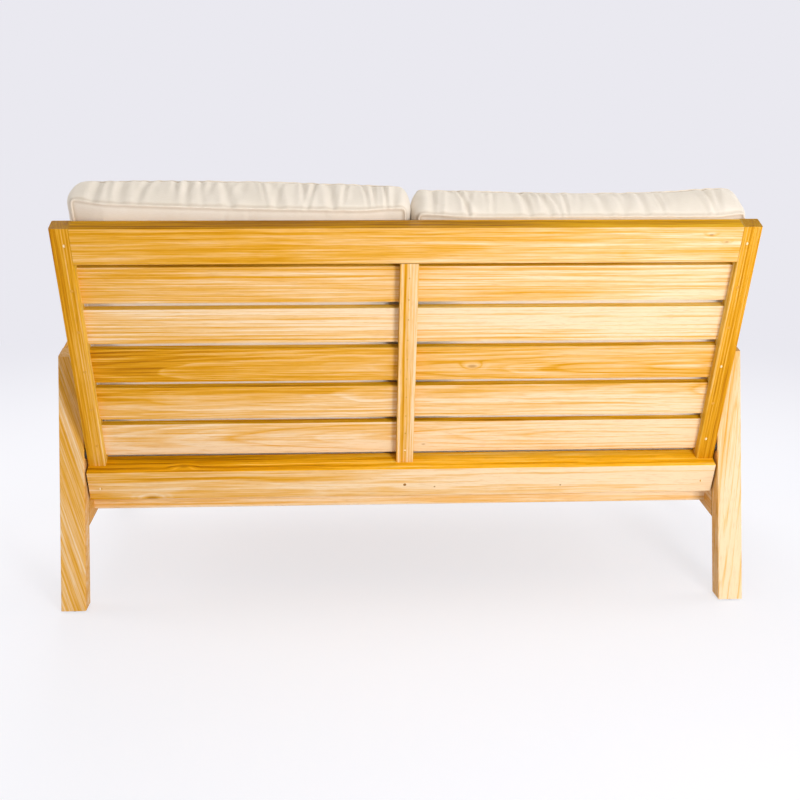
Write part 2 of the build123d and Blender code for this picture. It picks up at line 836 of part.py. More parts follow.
for name, side in sides.items():
    leaning_outline = back_outline(back_cushion_rise[name], back_cushion_draw[name])
    cushions = (
        ("seat_cushion", seat_outline, inner_x - seat_cushion_side_gap),
        ("back_cushion", leaning_outline, stile_outer_x - back_cushion_side_gap),
    )
    for cushion, outline, outer_end in cushions:
        width = outer_end - middle_gap / 2
        middle_x = side * (outer_end - width / 2)
        with BuildPart() as cover:
            cushion_form(outline, middle_x, width, 0)
            cushion_form(outline, middle_x, width, cover_thickness, Mode.SUBTRACT)
        save(cover, f"{cushion}_cover_{name}")

        with BuildPart() as foam:
            cushion_form(outline, middle_x, width, cover_thickness + foam_gap)
        save(foam, f"{cushion}_foam_{name}")
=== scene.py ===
# A teak garden bench, seen from behind, with its boards, pegs and cushions finished.
# Lengths are in metres. -Y is the way a sitter faces.
import json
import math
import random

import bmesh
import bpy
from mathutils import Matrix, Vector, kdtree, noise


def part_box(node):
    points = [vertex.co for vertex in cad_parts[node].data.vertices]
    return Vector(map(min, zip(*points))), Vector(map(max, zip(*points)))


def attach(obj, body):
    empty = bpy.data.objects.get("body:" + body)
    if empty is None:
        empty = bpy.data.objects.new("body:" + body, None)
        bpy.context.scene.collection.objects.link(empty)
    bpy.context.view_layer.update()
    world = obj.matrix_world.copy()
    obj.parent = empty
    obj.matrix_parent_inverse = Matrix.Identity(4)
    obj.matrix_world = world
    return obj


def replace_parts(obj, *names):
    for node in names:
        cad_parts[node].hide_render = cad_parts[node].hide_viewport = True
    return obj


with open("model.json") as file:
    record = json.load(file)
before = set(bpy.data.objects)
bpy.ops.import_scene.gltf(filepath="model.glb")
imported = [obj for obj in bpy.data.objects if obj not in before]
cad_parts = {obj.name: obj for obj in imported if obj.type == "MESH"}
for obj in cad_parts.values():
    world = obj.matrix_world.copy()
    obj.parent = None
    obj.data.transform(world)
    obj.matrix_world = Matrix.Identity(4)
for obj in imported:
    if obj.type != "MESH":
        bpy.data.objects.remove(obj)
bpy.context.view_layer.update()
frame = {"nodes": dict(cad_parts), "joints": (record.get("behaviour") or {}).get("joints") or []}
bpy.ops.object.select_all(action="DESELECT")
nodes = frame["nodes"]
axes = {joint["name"]: Vector(joint["axis"]) for joint in frame["joints"]}

# The bench's directions, from the ways that its cushions move and from its legs' and arms' slopes
leg_rake = math.radians(14)
arm_slope = math.radians(11)
across = Vector((1, 0, 0))
upright = Vector((0, 0, 1))
seat_forward = axes["seat_cushion_left_slide"]
seat_up = across.cross(seat_forward) * -1
back_up = axes["back_cushion_left_lift"]
back_forward = back_up.cross(across) * -1
leg_up = Vector((0, -math.sin(leg_rake), math.cos(leg_rake)))
arm_forward = Vector((0, -math.cos(arm_slope), math.sin(arm_slope)))


# Materials

class Finish:
    """The nodes of one material, added one at a time."""

    def __init__(self, name, roughness, specular=0.5, metallic=0.0):
        self.material = bpy.data.materials.new(name)
        self.material.use_nodes = True
        self.tree = self.material.node_tree
        self.shader = self.tree.nodes["Principled BSDF"]
        self.shader.inputs["Roughness"].default_value = roughness
        self.shader.inputs["Specular IOR Level"].default_value = specular
        self.shader.inputs["Metallic"].default_value = metallic

    def node(self, kind, inputs=None, **settings):
        made = self.tree.nodes.new("ShaderNode" + kind)
        for name, value in settings.items():
            setattr(made, name, value)
        for name, value in (inputs or {}).items():
            self.feed(made.inputs[name], value)
        return made

    def feed(self, socket, value):
        if isinstance(value, bpy.types.NodeSocket):
            self.tree.links.new(value, socket)
        else:
            socket.default_value = value

    def math(self, operation, first, second=0.0):
        return self.node("Math", {0: first, 1: second}, operation=operation).outputs[0]

    def vector(self, operation, first, second=(0, 0, 0)):
        made = self.node("VectorMath", {0: first, 1: second}, operation=operation)
        return made.outputs["Value" if operation in ("LENGTH", "DISTANCE", "DOT_PRODUCT") else "Vector"]

    def noise(self, place, stretch, detail=2.0, roughness=0.5):
        scaled = self.vector("MULTIPLY", place, stretch)
        return self.node(
            "TexNoise", {"Vector": scaled, "Scale": 1.0, "Detail": detail, "Roughness": roughness}
        )

    def waver(self, place, seeded, stretch, reach):
        """Moves a place by smooth noise, across and through its board."""
        sway = self.vector("SUBTRACT", self.noise(seeded, stretch).outputs["Color"], (0.5, 0.5, 0.5))
        return self.vector("ADD", place, self.vector("MULTIPLY", sway, (0, reach, reach)))

    def remap(self, value, low, high, to_low=0.0, to_high=1.0):
        inputs = {"Value": value, 1: low, 2: high, 3: to_low, 4: to_high}
        return self.node("MapRange", inputs, interpolation_type="SMOOTHSTEP").outputs[0]

    def mix(self, share, first, second):
        return self.node("Mix", {0: share, 6: first, 7: second}, data_type="RGBA").outputs[2]

    def ramp(self, value, stops):
        made = self.node("ValToRGB", {0: value})
        elements = made.color_ramp.elements
        while len(elements) < len(stops):
            elements.new(1.0)
        for element, (place, colour) in zip(elements, stops):
            element.position = place
            element.color = colour
        return made.outputs[0]

    def bump(self, height, distance, strength=1.0):
        made = self.node("Bump", {"Height": height, "Distance": distance, "Strength": strength})
        self.feed(self.shader.inputs["Normal"], made.outputs[0])

    def colour(self, value):
        self.feed(self.shader.inputs["Base Color"], value)

    def rough(self, value):
        self.feed(self.shader.inputs["Roughness"], value)


def shade(red, green, blue):
    """A colour given as it looks on a screen, from 0 to 255."""
    linear = [((v / 255 + 0.055) / 1.055) ** 2.4 for v in (red, green, blue)]
    return (*linear, 1.0)


def tinted(colour, red, green, blue):
    return (colour[0] * red, colour[1] * green, colour[2] * blue, 1.0)


# Oiled teak from its darkest to its palest, on a scale from 0 to 1
teak_shades = (
    shade(136, 80, 2), shade(158, 99, 2), shade(183, 118, 2), shade(203, 138, 5), shade(215, 153, 34),
    shade(223, 165, 70), shade(229, 178, 105), shade(233, 193, 138), shade(238, 209, 170),
)
# Where on that scale a board's broad face or its edges lie. Edge levels darker than a board's face are
# painted shade on its narrow faces.
painted_shade_top, dark, stile, gold, golden, amber = 0.22, 0.36, 0.41, 0.43, 0.54, 0.6
honey, straw, sand, blond, cream, pale = 0.64, 0.69, 0.73, 0.76, 0.8, 0.91
own_tint = (1, 1, 1)
end_grain, pore_shade, knot_shade = shade(132, 82, 6), shade(196, 132, 30), shade(150, 94, 20)


def board_turn(along, face):
    """The turn of a board's own axes: X along its grain and Z out of its broad face."""
    return Matrix((along, face.cross(along), face)).transposed().to_euler()


def teak(node, along, face, level, seed, pith=(0.11, -0.03), ring=0.006, wander=0.012, tilt=0.0,
         lines=0.08, painted_light_drift=0.235, edge=gold, shaded_edge_tint=(1.1, 1.3, 1), knots=(), stripes=(), marks=()):
    """Oiled teak on one board. Its rings lie round a pith beside or under the board, and tilt makes
    them run out at its face as arches. Places are along and across the board from its middle.
    A knot is its places along, across and through the board, with None where it runs right through,
    and its size. A mark is its place, size and colour. A stripe is its place across, its half width
    and how much paler it is. The wood is painted paler towards the bench's left end, as painted light
    where the key lamp falls stronger. The faces other than the broad face take the edge level and
    tint, darker and deeper in colour, as painted shade."""
    low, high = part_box(node)
    finish = Finish("teak_" + node, 0.5, 0.08)
    spot = finish.node("TexCoord").outputs["Object"]
    place = finish.node(
        "Mapping",
        {"Vector": spot, "Location": (low + high) / 2, "Rotation": board_turn(along, face)},
        vector_type="TEXTURE",
    ).outputs[0]
    seeded = finish.vector("ADD", place, (seed * 3.7, seed * 1.3, seed * 2.1))
    bent = finish.waver(place, seeded, (1.3, 5, 5), wander)
    bent = finish.waver(bent, seeded, (7, 16, 16), wander * 0.4)
    split = finish.node("SeparateXYZ", {0: place})
    lean = finish.node("CombineXYZ", {"Z": finish.math("MULTIPLY", split.outputs["X"], tilt)}).outputs[0]
    radial = finish.vector("SUBTRACT", finish.vector("ADD", bent, lean), (0, *pith))
    radius = finish.vector("LENGTH", finish.vector("MULTIPLY", radial, (0, 1, 1)))
    wobble = finish.noise(seeded, (3, 45, 45), 3.0).outputs["Fac"]
    radius = finish.math("ADD", radius, finish.math("MULTIPLY", wobble, 0.003))
    cores = None
    for *centre, size in knots:
        offset = finish.vector("SUBTRACT", bent, [way or 0 for way in centre])
        keep = [float(way is not None) for way in centre]
        offset = finish.vector("MULTIPLY", offset, (0.4, keep[1], keep[2]))
        away = finish.vector("LENGTH", offset)
        radius = finish.math("ADD", radius, finish.remap(away, 0, size * 2.2, size * 1.2, 0))
        core = finish.remap(away, size * 0.15, size * 0.8, 1, 0)
        cores = core if cores is None else finish.math("MAXIMUM", cores, core)

    # Growth rings as uneven bands, with a soft dark line where each begins, and streaks along the board
    bands = finish.node(
        "TexNoise", {"W": radius, "Scale": 1.1 / ring, "Detail": 2.0, "Roughness": 0.5},
        noise_dimensions="1D",
    ).outputs["Fac"]
    ring_place = finish.math("FRACT", finish.math("DIVIDE", radius, ring))
    line = finish.ramp(ring_place, [(0.0, (0, 0, 0, 1)), (0.12, (1, 1, 1, 1)), (0.55, (0, 0, 0, 1))])
    fibre = finish.noise(seeded, (24, 900, 900), 2.0, 0.6).outputs["Fac"]
    # Each layer of the figure with its middle value and its share
    layers = (
        (bands, 0.5, 0.5),
        (line, 0.3, -lines),
        (finish.noise(seeded, (1.0, 34, 34), 3.0).outputs["Fac"], 0.5, 0.6),
        (finish.noise(seeded, (3, 150, 150), 4.0, 0.55).outputs["Fac"], 0.5, 0.7),
        (finish.noise(seeded, (7, 430, 430), 2.0, 0.6).outputs["Fac"], 0.5, 0.75),
        (finish.noise(seeded, (1.6, 9, 9), 2.0).outputs["Fac"], 0.5, 0.55),
        (fibre, 0.5, 0.2),
    )
    value = 0.0
    for layer, middle, share in layers:
        centred = finish.math("SUBTRACT", layer, middle)
        value = finish.math("ADD", value, finish.math("MULTIPLY", centred, share))
    for middle, half, paler in stripes:
        off = finish.math("ABSOLUTE", finish.math("SUBTRACT", split.outputs["Y"], middle))
        value = finish.math("ADD", value, finish.remap(off, half * 0.5, half * 1.4, paler, 0))

    # The broad face, the edges with their painted shade, and the end grain
    last = len(teak_shades) - 1
    stops = [(n / last, colour) for n, colour in enumerate(teak_shades)]
    shaded_edge_stops = [(place, tinted(colour, *shaded_edge_tint)) for place, colour in stops]
    spot_x = finish.node("SeparateXYZ", {0: spot}).outputs["X"]
    # Painted light: each board, and a little of its edges, is painted paler towards -X, the end nearer the
    # key lamp
    places = finish.remap(spot_x, 0.6, -0.6, level, level + painted_light_drift)
    shaded_edge_places = finish.remap(spot_x, 0.6, -0.6, edge, edge + painted_light_drift * 0.4)
    colour = finish.ramp(finish.math("ADD", value, places), stops)
    shaded_edge_colour = finish.ramp(finish.math("ADD", value, shaded_edge_places), shaded_edge_stops)
    normal = finish.node("NewGeometry").outputs["Normal"]
    faces_out, ends_out = (
        finish.math("ABSOLUTE", finish.vector("DOT_PRODUCT", normal, way)) for way in (face, along)
    )
    # Painted shade: faces that turn away from the broad face take the darker, deeper edge colour
    colour = finish.mix(finish.remap(faces_out, 0.55, 0.9, 1, 0), colour, shaded_edge_colour)
    colour = finish.mix(finish.remap(ends_out, 0.75, 0.95, 0, 0.6), colour, end_grain)
    pores = finish.remap(finish.noise(seeded, (40, 1100, 1100), 1.0).outputs["Fac"], 0.6, 0.7)
    colour = finish.mix(finish.math("MULTIPLY", pores, 0.3), colour, pore_shade)
    if cores is not None:
        colour = finish.mix(finish.math("MULTIPLY", cores, 0.5), colour, knot_shade)
    for along_place, across_place, size, other in marks:
        offset = finish.vector("SUBTRACT", place, (along_place, across_place, 0))
        away = finish.vector("LENGTH", finish.vector("MULTIPLY", offset, (1, 1, 0)))
        colour = finish.mix(finish.remap(away, size * 0.6, size, 0.85, 0), colour, other)
    finish.colour(colour)
    finish.rough(finish.remap(value, -0.2, 0.2, 0.42, 0.56))
    height = finish.math("SUBTRACT", finish.math("ADD", fibre, finish.math("MULTIPLY", bands, 0.5)), pores)
    finish.bump(height, 0.0003, 0.6)
    return finish.material


def peg_wood(name, colour, others=()):
    """The ends of pegs: end grain with fine pores. The others are single pegs of another colour,
    each with its place across and up the back."""
    finish = Finish(name, 0.55, 0.3)
    spot = finish.node("TexCoord").outputs["Object"]
    rise = finish.vector("DOT_PRODUCT", spot, back_up)
    across_place = finish.node("SeparateXYZ", {0: spot}).outputs["X"]
    place = finish.node("CombineXYZ", {"X": across_place, "Y": rise}).outputs[0]
    base = colour
    for peg_x, peg_rise, other in others:
        away = finish.vector("DISTANCE", place, (peg_x, peg_rise, 0))
        base = finish.mix(finish.remap(away, 0.006, 0.008, 1, 0), base, other)
    specks = finish.noise(spot, (1500, 1500, 1500), 2.0).outputs["Fac"]
    pored = finish.remap(specks, 0.35, 0.55, 0.25, 0)
    finish.colour(finish.mix(pored, base, shade(150, 96, 30)))
    finish.bump(specks, 0.0002, 0.4)
    return finish.material


def plain(name, colour, roughness, metallic=0.0):
    """Plastic or metal with a faint unevenness in its gloss."""
    finish = Finish(name, roughness, 0.5, metallic)
    place = finish.node("TexCoord").outputs["Object"]
    cloud = finish.noise(place, (90, 90, 90), 4.0).outputs["Fac"]
    finish.colour(finish.mix(finish.remap(cloud, 0.35, 0.65), colour, tuple(v * 0.8 for v in colour)))
    finish.rough(finish.remap(cloud, 0.3, 0.7, roughness * 0.85, roughness * 1.15))
    return finish.material


thread_pitch = 0.0011


def canvas(name, colour, shadow, own_map=True):
    """Plain woven cotton canvas. Its threads follow the cloth's own UV map, in metres, or the
    object's own axes on the narrow piping."""
    finish = Finish(name, 0.9, 0.2)
    finish.shader.inputs["Sheen Weight"].default_value = 0.15
    finish.shader.inputs["Sheen Roughness"].default_value = 0.5
    spot = finish.node("TexCoord").outputs["Object"]
    thread = finish.node("UVMap", uv_map="cloth").outputs[0] if own_map else spot
    slub = finish.noise(thread, (90, 900, 90), 3.0).outputs["Fac"]
    turns = math.tau / thread_pitch
    split = finish.node("SeparateXYZ", {0: finish.vector("MULTIPLY", thread, (turns, turns, 0))})
    weave = finish.math(
        "MULTIPLY", finish.math("SINE", split.outputs["X"]), finish.math("SINE", split.outputs["Y"])
    )
    cloud = finish.noise(spot, (7, 7, 7), 3.0).outputs["Fac"]
    mottle = finish.math("ADD", finish.math("MULTIPLY", cloud, 0.4), finish.math("MULTIPLY", slub, 0.6))
    base = finish.mix(finish.remap(mottle, 0.35, 0.65), shadow, colour)
    if own_map:
        # Painted shadow: the cloth darkens beside its seams and piping, by the seam attribute
        seam = finish.node("Attribute", attribute_name="seam").outputs["Fac"]
        base = finish.mix(finish.math("MULTIPLY", seam, 0.42), base, shade(176, 150, 112))
    # Painted shade in the hollows between the threads
    weave_hollow_shade = finish.remap(weave, -1, 0.4, 0.1, 0)
    finish.colour(finish.mix(weave_hollow_shade, base, shade(170, 148, 118)))
    height = finish.math("ADD", weave, finish.math("MULTIPLY", slub, 1.5))
    finish.bump(height, 0.0002, 0.5)
    return finish.material


def dress(node, material):
    mesh = nodes[node].data
    mesh.materials.clear()
    mesh.materials.append(material)


back_face = -back_forward
leg_face = -leg_up.cross(across)
front_leg_face = -upright.cross(across)
arm_face = arm_forward.cross(across)
half_stile = 0.0175
dark_mark, pale_mark = shade(150, 96, 30), shade(246, 224, 186)
right_slant, left_slant = math.radians(18), math.radians(6)
right_leg_grain = leg_up * math.cos(right_slant) + across * math.sin(right_slant)
left_leg_grain = leg_up * math.cos(left_slant) - across * math.sin(left_slant)
boards = [
    # The top rail's top face and other narrow faces are painted very dark: painted shade on a face that
    # turns up, away from the lamps
    ("back_top_rail", across, back_face, amber, 1, dict(
        pith=(0.02, -0.045), ring=0.0075, wander=0.02, painted_light_drift=0.16, edge=painted_shade_top,
        knots=((-0.553, -0.02, None, 0.004), (-0.584, -0.006, None, 0.003)))),
    ("back_slat_1", across, back_face, honey, 2, dict(pith=(-0.12, -0.02), ring=0.0072, painted_light_drift=0.33)),
    ("back_slat_2", across, back_face, cream, 3, dict(
        pith=(0.16, -0.02), ring=0.0088, wander=0.006, lines=0.18, painted_light_drift=0.16)),
    ("back_slat_3", across, back_face, gold, 4, dict(
        pith=(0.01, -0.022), ring=0.0065, wander=0.02, tilt=0.035, lines=0.14, painted_light_drift=0.35,
        knots=((-0.13, 0.004, None, 0.007),))),
    ("back_slat_4", across, back_face, honey, 5, dict(
        pith=(-0.02, -0.035), ring=0.0068, wander=0.022, tilt=0.02, lines=0.14, painted_light_drift=0.27,
        stripes=((-0.03, 0.01, -0.08),))),
    ("back_slat_5", across, back_face, pale, 6, dict(
        pith=(0.0, -0.014), ring=0.008, wander=0.016, tilt=0.05, lines=0.14, painted_light_drift=0.1,
        knots=((-0.039, 0.02, None, 0.003),), stripes=((-0.024, 0.012, -0.1),))),
    ("back_bottom_rail", across, back_face, honey, 7, dict(
        pith=(0.03, -0.05), ring=0.007, wander=0.02, painted_light_drift=0.42, edge=dark, shaded_edge_tint=(1.42, 1.6, 1),
        knots=((0.52, 0.036, None, 0.009), (0.452, None, 0.01, 0.008)),
        stripes=((0.018, 0.018, 0.1),),
        marks=((-0.062, 0.012, 0.0022, dark_mark), (-0.325, 0.012, 0.0022, dark_mark)))),
    ("back_stile_left", back_up, back_face, stile, 8, dict(
        pith=(0.1, -0.03), ring=0.0045, wander=0.005, painted_light_drift=0.05,
        stripes=((half_stile, 0.004, 0.15),))),
    ("back_stile_right", back_up, back_face, stile, 9, dict(
        pith=(-0.1, -0.03), ring=0.0045, wander=0.005, painted_light_drift=0.05,
        stripes=((-half_stile, 0.004, 0.15),))),
    ("back_mullion", back_up, back_face, blond, 10, dict(
        pith=(0.09, -0.02), ring=0.006, wander=0.008, painted_light_drift=0.05, stripes=((0.0075, 0.003, -0.15),),
        marks=((-0.187, 0.0, 0.0028, pale_mark),))),
    ("rear_leg_left", left_leg_grain, leg_face, blond, 11, dict(
        pith=(0.0, -0.02), ring=0.009, wander=0.012, tilt=0.07, lines=0.14, painted_light_drift=0.13, edge=straw,
        shaded_edge_tint=own_tint)),
    ("rear_leg_right", right_leg_grain, leg_face, straw, 12, dict(
        pith=(0.03, -0.02), ring=0.007, wander=0.014, tilt=0.05, edge=straw, shaded_edge_tint=own_tint)),
    ("front_leg_left", upright, front_leg_face, honey, 13, dict(
        pith=(0.02, -0.05), tilt=0.03, edge=honey, shaded_edge_tint=own_tint)),
    ("front_leg_right", upright, front_leg_face, sand, 14, dict(
        pith=(0.0, -0.06), tilt=0.03, edge=straw, shaded_edge_tint=own_tint)),
    # The arms' tops are set dark: partly the teak's weathered tone, partly painted shade on an upward face
    ("arm_left", arm_forward, arm_face, dark, 15, dict(
        pith=(0.01, -0.03), wander=0.02, tilt=0.03, edge=honey, shaded_edge_tint=own_tint)),
    ("arm_right", arm_forward, arm_face, dark, 16, dict(
        pith=(-0.02, -0.04), wander=0.02, tilt=0.03, edge=honey, shaded_edge_tint=own_tint)),
    ("side_rail_left", seat_forward, across, honey, 17, dict(pith=(0.02, -0.05))),
    ("side_rail_right", seat_forward, across, straw, 18, dict(pith=(0.01, -0.05))),
    ("front_seat_rail", across, seat_forward, honey, 19, dict(pith=(0.02, -0.05), wander=0.02)),
    ("rear_seat_rail", across, -seat_forward, pale, 20, dict(pith=(0.12, -0.05), painted_light_drift=0.1)),
    ("seat_bearer", seat_forward, seat_up, golden, 21, {}),
    ("seat_cleat_left", seat_forward, across, golden, 22, {}),
    ("seat_cleat_right", seat_forward, across, golden, 23, {}),
]
for number, level in enumerate((honey, sand, golden, straw, sand, honey), 1):
    grain = dict(pith=(0.03 * number - 0.1, -0.04), wander=0.02)
    boards.append((f"seat_slat_{number}", across, seat_up, level, 30 + number, grain))
for node, along, face, level, seed, grain in boards:
    dress(node, teak(node, along, face, level, seed, **grain))


def reach(node, direction):
    """How far a CAD node goes each way along a direction."""
    places = [vertex.co.dot(direction) for vertex in nodes[node].data.vertices]
    return min(places), max(places)


# Pegs that stand out: the two at the top, two at slats, and those at the foot of the back
stile_x = sum(reach("back_stile_right", across)) / 2
back_top = reach("back_top_rail", back_up)[1]
peg_drops = {"top": 0.034, "slat_3": 0.304, "slat_5": 0.482, "foot": 0.574}
pale_peg, dark_peg = shade(250, 226, 184), shade(150, 98, 34)
pale_pegs = ((1, "top"), (-1, "top"), (-1, "slat_3"), (-1, "slat_5"), (1, "foot"), (-1, "foot"))
others = [(side * stile_x, back_top - peg_drops[row], pale_peg) for side, row in pale_pegs]
others.append((0, back_top - peg_drops["foot"], dark_peg))
dress("back_frame_pegs", peg_wood("back_peg_end", shade(214, 152, 48), others))
dress("side_frame_pegs", peg_wood("side_peg_end", shade(222, 176, 110)))
dress("bolt_plugs", peg_wood("plug_end", shade(218, 168, 92)))
dress("mullion_nails", peg_wood("nail_filler", shade(208, 156, 58)))
dress("foot_glides", plain("glide_plastic", shade(34, 33, 32), 0.6))
dress("bolt_spacers", plain("spacer_plastic", shade(44, 34, 26), 0.6))
steel = plain("stainless_steel", shade(190, 188, 184), 0.3, 1.0)
for node in ("back_bolts", "seat_screws", "cleat_screws"):
    dress(node, steel)
dress("bolt_inserts", plain("brass", shade(206, 172, 96), 0.35, 1.0))
foam = plain("foam", shade(236, 228, 196), 0.95)
for kind in ("seat", "back"):
    for side in ("left", "right"):
        dress(f"{kind}_cushion_foam_{side}", foam)

cover_canvas = canvas("cover_canvas", shade(240, 230, 217), shade(236, 225, 209))
piping_canvas = canvas("piping_canvas", shade(238, 227, 212), shade(232, 218, 200), own_map=False)


# Cushions

cushion_thickness = 0.108
seat_crown = 0.018
seat_nose = 0.009
cell = 0.009
fine_cell = 0.006
piping_radius = 0.002
seam_crease = 0.75
fullness = 0.6
# How deep the cloth puckers along its seams, how much it swells elsewhere, and the groove by a seam
pucker, swell, groove = 0.0016, 0.0014, 0.0012
puff_steps = 20
canvas_cloth = {
    "quality": 5, "mass": 0.25, "tension_stiffness": 25, "compression_stiffness": 25,
    "shear_stiffness": 8, "bending_stiffness": 0.4, "vertex_group_mass": "pin", "pin_stiffness": 1,
    "vertex_group_shrink": "slack", "shrink_min": -0.006, "shrink_max": -0.05,
    "use_pressure": True, "uniform_pressure_force": 4,
}


def crossing(normal_a, distance_a, normal_b, distance_b):
    """The point of the side view that lies on two planes."""
    turn = normal_a.y * normal_b.z - normal_a.z * normal_b.y
    y = (distance_a * normal_b.z - distance_b * normal_a.z) / turn
    z = (normal_a.y * distance_b - normal_b.y * distance_a) / turn
    return Vector((0, y, z))


def smooth(value):
    value = min(max(value, 0.0), 1.0)
    return value * value * (3 - 2 * value)


def follow(line, x):
    """The height at x of a smooth line through a few points, each (x, height)."""
    if x <= line[0][0]:
        return line[0][1]
    for n, ((x0, h0), (x1, h1)) in enumerate(zip(line, line[1:])):
        if x <= x1:
            before, after = line[max(n - 1, 0)], line[min(n + 2, len(line) - 1)]
            t = (x - x0) / (x1 - x0)
            slope0 = (h1 - before[1]) / (x1 - before[0]) * (x1 - x0)
            slope1 = (after[1] - h0) / (after[0] - x0) * (x1 - x0)
            return (
                h0 * (2 * t**3 - 3 * t**2 + 1) + slope0 * (t**3 - 2 * t**2 + t)
                + h1 * (3 * t**2 - 2 * t**3) + slope1 * (t**3 - t**2)
            )
    return line[-1][1]


def folds(seed, start, end, spacing, depth):
    """Folds across a strip of cloth between its two seams, each as its place along the strip,
    depth, width, slant and how much of the strip it crosses from its front seam."""
    chance = random.Random(seed)
    made, x = [], start
    while x < end:
        made.append((
            x, depth * chance.uniform(0.2, 1.35), chance.uniform(0.0035, 0.009),
            chance.uniform(-0.02, 0.02), chance.uniform(1.0, 2.6),
        ))
        x += chance.uniform(*spacing)
    return made


class Cushion:
    """A box cushion as a net of cells. Its two panels are the first and the last layer through
    its thickness. A corner is (layer, row): 0 or 1 through the thickness and along the panel."""

    def __init__(self, name, ends, corners, outward, row_out, shape):
        self.name, self.ends, self.corners = name, ends, corners
        self.outward, self.row_out, self.shape = outward, row_out, shape
        width = ends[1] - ends[0]
        length = (corners[1, 1] - corners[1, 0]).length
        depth = (corners[1, 1] - corners[0, 1]).length
        self.size = (width, depth, length)
        cells = (fine_cell, cell, cell)
        self.count = tuple(max(4, round(side / step)) for side, step in zip(self.size, cells))
        self.build()

    def place(self, i, j, k):
        """The point of the net at a step across, through and along the cushion."""
        a, b, c = i / self.count[0], j / self.count[1], k / self.count[2]
        shape = self.shape
        width, _, length = self.size
        belly = 4 * b * (1 - b)
        full_belly = belly ** fullness

        # Rounds the four corners, more so between the two seams
        x, y = (a - 0.5) * width, (c - 0.5) * length
        radius = shape["seam_corner"] + (shape["strip_corner"] - shape["seam_corner"]) * belly
        over_x, over_y = abs(x) - width / 2 + radius, abs(y) - length / 2 + radius
        out_x, out_y = float(i in (0, self.count[0])), float(k in (0, self.count[2]))
        if over_x > 0 and over_y > 0:
            away = max(over_x, over_y)
            span = math.hypot(over_x, over_y)
            out_x, out_y = over_x / span, over_y / span
            x = math.copysign(width / 2 - radius + out_x * away, x)
            y = math.copysign(length / 2 - radius + out_y * away, y)
        a, c = x / width + 0.5, y / length + 0.5

        low = self.corners[0, 0].lerp(self.corners[0, 1], c)
        high = self.corners[1, 0].lerp(self.corners[1, 1], c)
        point = low.lerp(high, b)
        point.x = self.ends[0] + a * width
        rear, front = (follow(shape[line], point.x) for line in ("rear_line", "front_line"))
        point += self.row_out * (rear + (front - rear) * b) * smooth((c - 0.65) / 0.35)

        # Fullness of the front panel, and the bulge of the strips between the two seams
        if j == self.count[1]:
            full = (1 - (2 * a - 1) ** 2) * (1 - (2 * c - 1) ** 2)
            point += self.outward * shape["crown"] * full ** fullness
        if self.on_strip(i, k):
            point.x += math.copysign(shape["end_bulges"][x > 0] * full_belly * out_x, x)
            if c > 0.5:
                point += self.row_out * shape["belly"] * full_belly * out_y

        # The rear panel leaves what it leans on near its two ends
        lift = 0.0
        for away, length in zip((point.x - self.ends[0], self.ends[1] - point.x), shape["lift_lengths"]):
            lift = max(lift, shape["lift"] * (1 - smooth(away / length)))
        return point + self.outward * lift * (1 - b)

    def on_strip(self, i, k):
        return i in (0, self.count[0]) or k in (0, self.count[2])

    def on_seam(self, i, j, k):
        return self.on_strip(i, k) and j in (0, self.count[1])

    def build(self):
        nx, ny, nz = self.count
        self.index, points = {}, []
        for i in range(nx + 1):
            for j in range(ny + 1):
                for k in range(nz + 1):
                    if i in (0, nx) or j in (0, ny) or k in (0, nz):
                        self.index[i, j, k] = len(points)
                        points.append(self.place(i, j, k))
        faces, uvs = [], []

        def side(corner, uv):
            faces.append([self.index[key] for key in corner])
            uvs.append(uv)

        du, dv, dw = (size / count for size, count in zip(self.size, self.count))
        for j in (0, ny):
            for i in range(nx):
                for k in range(nz):
                    quad = [(i, j, k), (i + 1, j, k), (i + 1, j, k + 1), (i, j, k + 1)]
                    side(quad, [(p[0] * du, p[2] * dw) for p in quad])
        for k in (0, nz):
            for i in range(nx):
                for j in range(ny):
                    quad = [(i, j, k), (i + 1, j, k), (i + 1, j + 1, k), (i, j + 1, k)]
                    side(quad, [(p[0] * du, p[1] * dv) for p in quad])
        for i in (0, nx):
            for j in range(ny):
                for k in range(nz):
                    quad = [(i, j, k), (i, j + 1, k), (i, j + 1, k + 1), (i, j, k + 1)]
                    side(quad, [(p[2] * dw, p[1] * dv) for p in quad])
        mesh = bpy.data.meshes.new(self.name)
        mesh.from_pydata(points, [], faces)
        layer = mesh.uv_layers.new(name="cloth")
        flat = [value for uv in uvs for pair in uv for value in pair]
        layer.data.foreach_set("uv", flat)
        net = bmesh.new()
        net.from_mesh(mesh)
        bmesh.ops.recalc_face_normals(net, faces=net.faces)
        net.to_mesh(mesh)
        net.free()
        layers = {index: key[1] for key, index in self.index.items() if self.on_seam(*key)}
        creases = mesh.attributes.new("crease_edge", "FLOAT", "EDGE")
        for edge in mesh.edges:
            first, second = (layers.get(vertex) for vertex in edge.vertices)
            edge.use_seam = first is not None and first == second
            creases.data[edge.index].value = seam_crease * edge.use_seam
        self.object = bpy.data.objects.new(self.name, mesh)
        bpy.context.scene.collection.objects.link(self.object)
        self.rest = [point.copy() for point in points]

    def groups(self):
        """Pins the seams and where the cushion rests, and lets the strips take up more cloth."""
        pin = self.object.vertex_groups.new(name="pin")
        slack = self.object.vertex_groups.new(name="slack")
        nx, ny, nz = self.count
        for (i, j, k), index in self.index.items():
            c = k / nz
            resting = j == 0 or k == 0 or (j == ny and c < self.shape["covered"])
            if self.on_seam(i, j, k) or resting:
                pin.add([index], 1.0, "REPLACE")
            if j not in (0, ny):
                slack.add([index], 1.0, "REPLACE")

